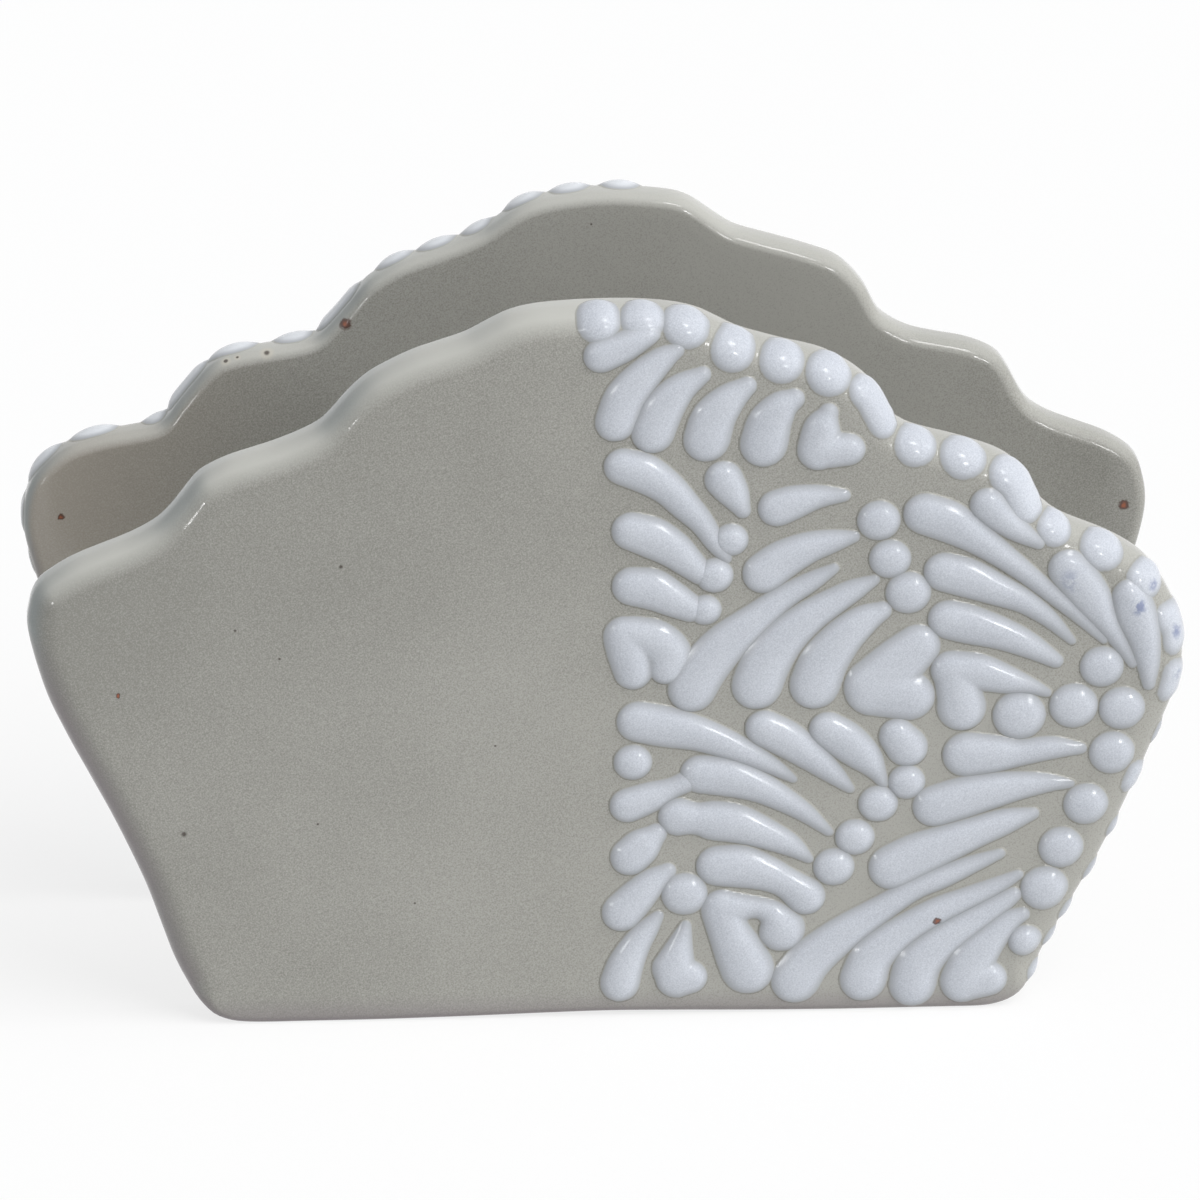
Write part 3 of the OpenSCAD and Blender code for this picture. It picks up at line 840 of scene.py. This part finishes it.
edgeBeads = {
    "start": -15,
    "over": 4,
    "grow": 0.3,
    "lift": 0.62,
    "crestLift": 0.38,
    "crestShare": {"front": 0.85, "back": 0.85},
    "front": [
        [43.95, 44.65, 12.5, 48], [45.65, 46, 12, 42], [46.85, 46.95, 10, 8], [47.5, 47.6, 11.5, 34],
        [48.3, 48.35, 9.5, 14], [49.05, 49.15, 10, 12], [49.9, 50, 9.5, 14], [50.6, 50.7, 9, 14],
        [51.5, 51.6, 9, 20],
    ],
    "back": [
        [43.9, 44.2, 14, 32], [45.3, 45.5, 11.5, 28], [46.3, 46.4, 10, 12], [47.1, 47.2, 11.5, 22],
        [47.9, 48, 10, 14], [48.7, 48.8, 10.5, 16], [49.5, 49.6, 9.5, 14], [50.4, 50.5, 9, 14],
        [51.4, 51.5, 9, 20],
    ],
}


# One dome swept along a path, round at both ends, set on the wall's real surface
def strokeParts(wall, path):
    if len(path) == 1:
        across, *others = path[0]
        path = [path[0], [across + slipShape["dotLength"], *others]]
    line = curveThrough(onFace(path), slipShape["step"])
    line[:, 2] += slipShape["grow"]
    way = unit(np.gradient(line[:, :2], axis=0))
    fullness = np.minimum(1, line[:, 2] / slipShape["fullRadius"])
    lift = slipShape["lift"] * fullness ** slipShape["thinning"]

    def roundEnd(k, outward):
        made = []
        for turn in np.radians(slipShape["endTurns"]):
            place = line[k, :2] + outward * way[k] * line[k, 2] * math.cos(turn)
            made.append((place, way[k], line[k, 2] * math.sin(turn), lift[k] * math.sin(turn)))
        return made

    rows = roundEnd(0, -1) + list(zip(line[:, :2], way, line[:, 2], lift)) + roundEnd(-1, 1)[::-1]
    turns = np.radians(range(0, 181, slipShape["profileTurn"]))
    loops = []
    for place, ahead, r, h in rows:
        aside = np.array([-ahead[1], ahead[0]])
        across = np.r_[-np.cos(turns) * r, r, -r]
        dome = np.maximum(np.sin(turns), 0) ** slipShape["dome"] * h
        up = np.r_[dome, -slipShape["sink"], -slipShape["sink"]]
        flat = place + across[:, None] * aside
        loops.append(np.c_[flat[:, 0], up, flat[:, 1]])
    points, faces = loft(loops)
    for p in points:
        p[1] = surfaceAt(wall, p[0], p[2]) - p[1]
    return points, faces


def surfaceAt(wall, x, z):
    face = wall.middle - wall.rim
    hit = wall.tree.ray_cast(Vector((x, face - slipShape["castFrom"], z)), Vector((0, 1, 0)))[0]
    return min(hit.y, face + slipShape["deepest"]) if hit else face + slipShape["deepest"]


beadShape = {
    "ballRows": 17,
    "ballColumns": 28,
    "ballCap": 4,  # degrees left flat round each pole
    "step": 0.12,  # outline numbers between the balls that make a bead
    "turns": 6,  # balls from the top of the rim to a bead's end
    "liftGrows": (-10, 35),  # degrees from the top of the rim
    "widens": (10, 50),
}


def ball(centre, along, radius, stretch):
    aside = np.array([-along[1], along[0]])
    cap, columns = beadShape["ballCap"], beadShape["ballColumns"]
    loops = []
    for a in np.radians(np.linspace(cap, 180 - cap, beadShape["ballRows"])):
        ring = []
        for b in np.radians(np.arange(columns) * 360 / columns):
            u, v, w = math.cos(a) * stretch, math.sin(a) * math.cos(b), math.sin(a) * math.sin(b)
            flat = (along * u + aside * v) * radius
            ring.append((centre[0] + flat[0], centre[1] + w * radius, centre[2] + flat[1]))
        loops.append(np.array(ring))
    return loft(loops)


def beadParts(wall, row, look):
    first, last, radius, reach = row
    r = radius * faceScale["width"] * share + look["grow"]
    parts = []
    onCrest = look["crestShare"][wall.side]
    for s in np.linspace(first, last, 1 + math.ceil((last - first) / beadShape["step"])):
        along = wall.way(s)
        inward = np.array([along[1], -along[0]])
        for angle in np.radians(np.linspace(look["start"], reach + look["over"], beadShape["turns"])):
            turn = math.degrees(angle)
            flat = wall.at(s) + inward * wall.rim * (1 - math.cos(angle))
            guess = Vector((flat[0], wall.middle - wall.rim * math.sin(angle), flat[1]))
            seat, out = wall.tree.find_nearest(guess)[:2]
            more = (look["lift"] - look["crestLift"]) * smooth(turn, *beadShape["liftGrows"])
            lift = look["crestLift"] + more
            size = r * (onCrest + (1 - onCrest) * smooth(turn, *beadShape["widens"]))
            stretch = 1 / math.sqrt(1 - (1 - look["lift"] / size) ** 2)
            parts.append(ball(seat + out * (lift - size), along, size, stretch))
    return parts


def joined(parts):
    points, faces, first = [], [], 0
    for p, f in parts:
        points.append(p)
        faces += [tuple(first + i for i in face) for face in f]
        first += len(p)
    return np.vstack(points), faces


# Two strokes that start at the same place run into each other, and the others stay apart
def bunches(paths):
    made = []
    for path in paths:
        head = onFace(path[0])[:2]
        last = onFace(made[-1][-1][0])[:2] if made else head + slipShape["headsMeet"] * 2
        if np.linalg.norm(head - last) < slipShape["headsMeet"]:
            made[-1].append(path)
        else:
            made.append([path])
    return made


# Overlapping solids become one smooth skin
def melted(name, parts):
    holder = bpy.data.objects.new(name, newMesh(name, *joined(parts)))
    bpy.context.scene.collection.objects.link(holder)
    remesh = holder.modifiers.new("melt", "REMESH")
    remesh.mode = "VOXEL"
    remesh.voxel_size = slipShape["cell"] * mm
    remesh.use_smooth_shade = True
    soften = holder.modifiers.new("soften", "SMOOTH")
    soften.factor, soften.iterations = slipShape["softening"]
    mesh = bpy.data.meshes.new_from_object(holder.evaluated_get(bpy.context.evaluated_depsgraph_get()))
    bpy.data.objects.remove(holder)
    mesh.name = name
    return mesh


# The foot of the slip runs out over the wall, and each point keeps how far it stands above it
def settled(wall, points, normals):
    found = [wall.tree.find_nearest(Vector(p)) for p in points]
    near = np.array([f[0] for f in found])
    out = np.array([f[1] for f in found])
    lift = np.sum((points - near) * out, axis=1)
    deep = lift < -slipShape["sink"]
    points[deep] = near[deep] - out[deep] * slipShape["sink"]
    aside = normals - np.sum(normals * out, axis=1)[:, None] * out
    size = np.linalg.norm(aside, axis=1)
    push = slipShape["flare"] * np.exp(-np.maximum(lift, 0) / slipShape["flareFall"])
    push *= smooth(size, *slipShape["flareSlope"]) * ~deep
    points += unit(aside) * push[:, None]
    points[:, 2] = np.maximum(points[:, 2], slipShape["clearOfFloor"])
    if wall.isBack:
        points, out = turned(points), turned(out)
    return points, out, np.maximum(lift, -slipShape["sink"])


def camel(node):
    first, *rest = node.split("_")
    return first + "".join(word.capitalize() for word in rest)


def makeSlip(side, group, bunched):
    node = side + "_" + group
    wall = walls[side]
    faces, settledParts, first = [], [], 0
    for parts in bunched:
        mesh = melted(camel(node), parts)
        faces += [tuple(first + i for i in p.vertices) for p in mesh.polygons]
        first += len(mesh.vertices)
        points, normals = readVectors(mesh.vertices, "co") / mm, readVectors(mesh.vertices, "normal")
        settledParts.append(settled(wall, points, normals))
        bpy.data.meshes.remove(mesh)
    points, facing, lift = (np.concatenate(made) for made in zip(*settledParts))
    if group.endswith("beads"):
        lift = lift * slipShape["beadThickness"]
    mesh = newMesh(camel(node), points, faces)
    keepFacing(mesh, facing)
    kept = mesh.attributes.new("slipLift", "FLOAT", "POINT")
    kept.data.foreach_set("value", lift.astype(np.float32))
    newPiece(camel(node), mesh, whiteSlip, node)


for side, wall in walls.items():
    for group, paths in strokes.items():
        makeSlip(side, group, [[strokeParts(wall, path) for path in bunch] for bunch in bunches(paths)])
    for group, rows in dots.items():
        makeSlip(side, group, [[strokeParts(wall, [row])] for row in rows])
    for group, beads in (("rim_beads", rimBeads), ("edge_beads", edgeBeads)):
        makeSlip(side, group, [beadParts(wall, row, beads) for row in beads[side]])
    print("slip laid on the", side, "wall")

studio = {
    "paper": fromScreen(250, 250, 250),
    "paperBounce": fromScreen(235, 235, 233),
    "paperGlow": 0.78,  # how much of the seen paper is plain white, so that its shadow stays faint
    "paperSize": 8.0,
    "plainWhite": (1.0, 1.0, 1.0),
    "sky": (0.33, 0.335, 0.34),
}
# Lamps: strength, degrees to the right of the front, height and width in degrees. The soft one lights the
# clay, and the sparks only glint on the glaze
lamps = {
    "softKey": (2.85, 57, 46, 55),
    "sparkHigh": (0.45, 33, 50, 14),
    "sparkRight": (0.36, 26, 17, 9),
    "sparkLeft": (0.12, -38, 8, 5),
}
viewpoint = {
    "azimuth": -3.4,
    "elevation": 20.4,
    "distance": 1.83,
    "target": (0.0005, 0.0, 0.0582),
    "lens": 349.2,
    "sensor": 36.0,
    "clip": (0.05, 50.0),
}


def directionFrom(azimuth, elevation):
    a, e = math.radians(azimuth), math.radians(elevation)
    return Vector((math.sin(a) * math.cos(e), -math.cos(a) * math.cos(e), math.sin(e)))


# Rays by which the backdrop itself is seen, straight or mirrored
def seenRays(start):
    rays = [start.node("ShaderNodeLightPath", {}, {}, name) for name in
            ("Is Camera Ray", "Is Glossy Ray", "Is Transmission Ray")]
    return (rays[0] + rays[1] + rays[2]).clamped()


def makeFloorStage():
    half = studio["paperSize"] / 2 / mm
    corners = [(-half, -half, 0), (half, -half, 0), (half, half, 0), (-half, half, 0)]
    mesh = newMesh("studioFloor", corners, [(0, 1, 2, 3)])
    floor = bpy.data.objects.new("studioFloor", mesh)
    bpy.context.scene.collection.objects.link(floor)
    material, start = newMaterial("studioPaper")
    seen = seenRays(start)
    colour = seen.blend(studio["paperBounce"], studio["paper"])
    lit = start.node("ShaderNodeBsdfDiffuse", {}, {"Color": colour})
    glow = start.node("ShaderNodeEmission", {}, {"Color": studio["plainWhite"], "Strength": 1.0})
    paper = start.node("ShaderNodeMixShader", {}, {0: seen * studio["paperGlow"], 1: lit, 2: glow})
    start.node("ShaderNodeOutputMaterial", {}, {"Surface": paper})
    mesh.materials.append(material)


def makeSun(name, strength, azimuth, height, width):
    lamp = bpy.data.lights.new(name, "SUN")
    lamp.energy, lamp.angle = strength, math.radians(width)
    sun = bpy.data.objects.new(name, lamp)
    sun.rotation_mode = "QUATERNION"
    sun.rotation_quaternion = directionFrom(azimuth, height).to_track_quat("Z", "Y")
    sun.visible_glossy = name.startswith("spark")
    sun.visible_diffuse = not sun.visible_glossy
    bpy.context.scene.collection.objects.link(sun)


def makeSky():
    world = bpy.data.worlds.new("studioSky")
    bpy.context.scene.world = world
    world.use_nodes = True
    world.node_tree.nodes.clear()
    start = Wire(world.node_tree)
    colour = seenRays(start).blend(studio["sky"], studio["plainWhite"])
    shader = start.node("ShaderNodeBackground", {}, {"Color": colour, "Strength": 1.0})
    start.node("ShaderNodeOutputWorld", {}, {"Surface": shader})


def makeCamera():
    back = directionFrom(viewpoint["azimuth"], viewpoint["elevation"])
    lens = bpy.data.cameras.new("photoCamera")
    lens.lens, lens.sensor_width = viewpoint["lens"], viewpoint["sensor"]
    lens.clip_start, lens.clip_end = viewpoint["clip"]
    camera = bpy.data.objects.new("photoCamera", lens)
    camera.location = Vector(viewpoint["target"]) + back * viewpoint["distance"]
    camera.rotation_mode = "QUATERNION"
    camera.rotation_quaternion = (-back).to_track_quat("-Z", "Y")
    bpy.context.scene.collection.objects.link(camera)
    bpy.context.scene.camera = camera


makeFloorStage()
for lampName, row in lamps.items():
    makeSun(lampName, *row)
makeSky()
makeCamera()
bpy.context.scene.view_settings.view_transform = "Standard"
print("studio lit")
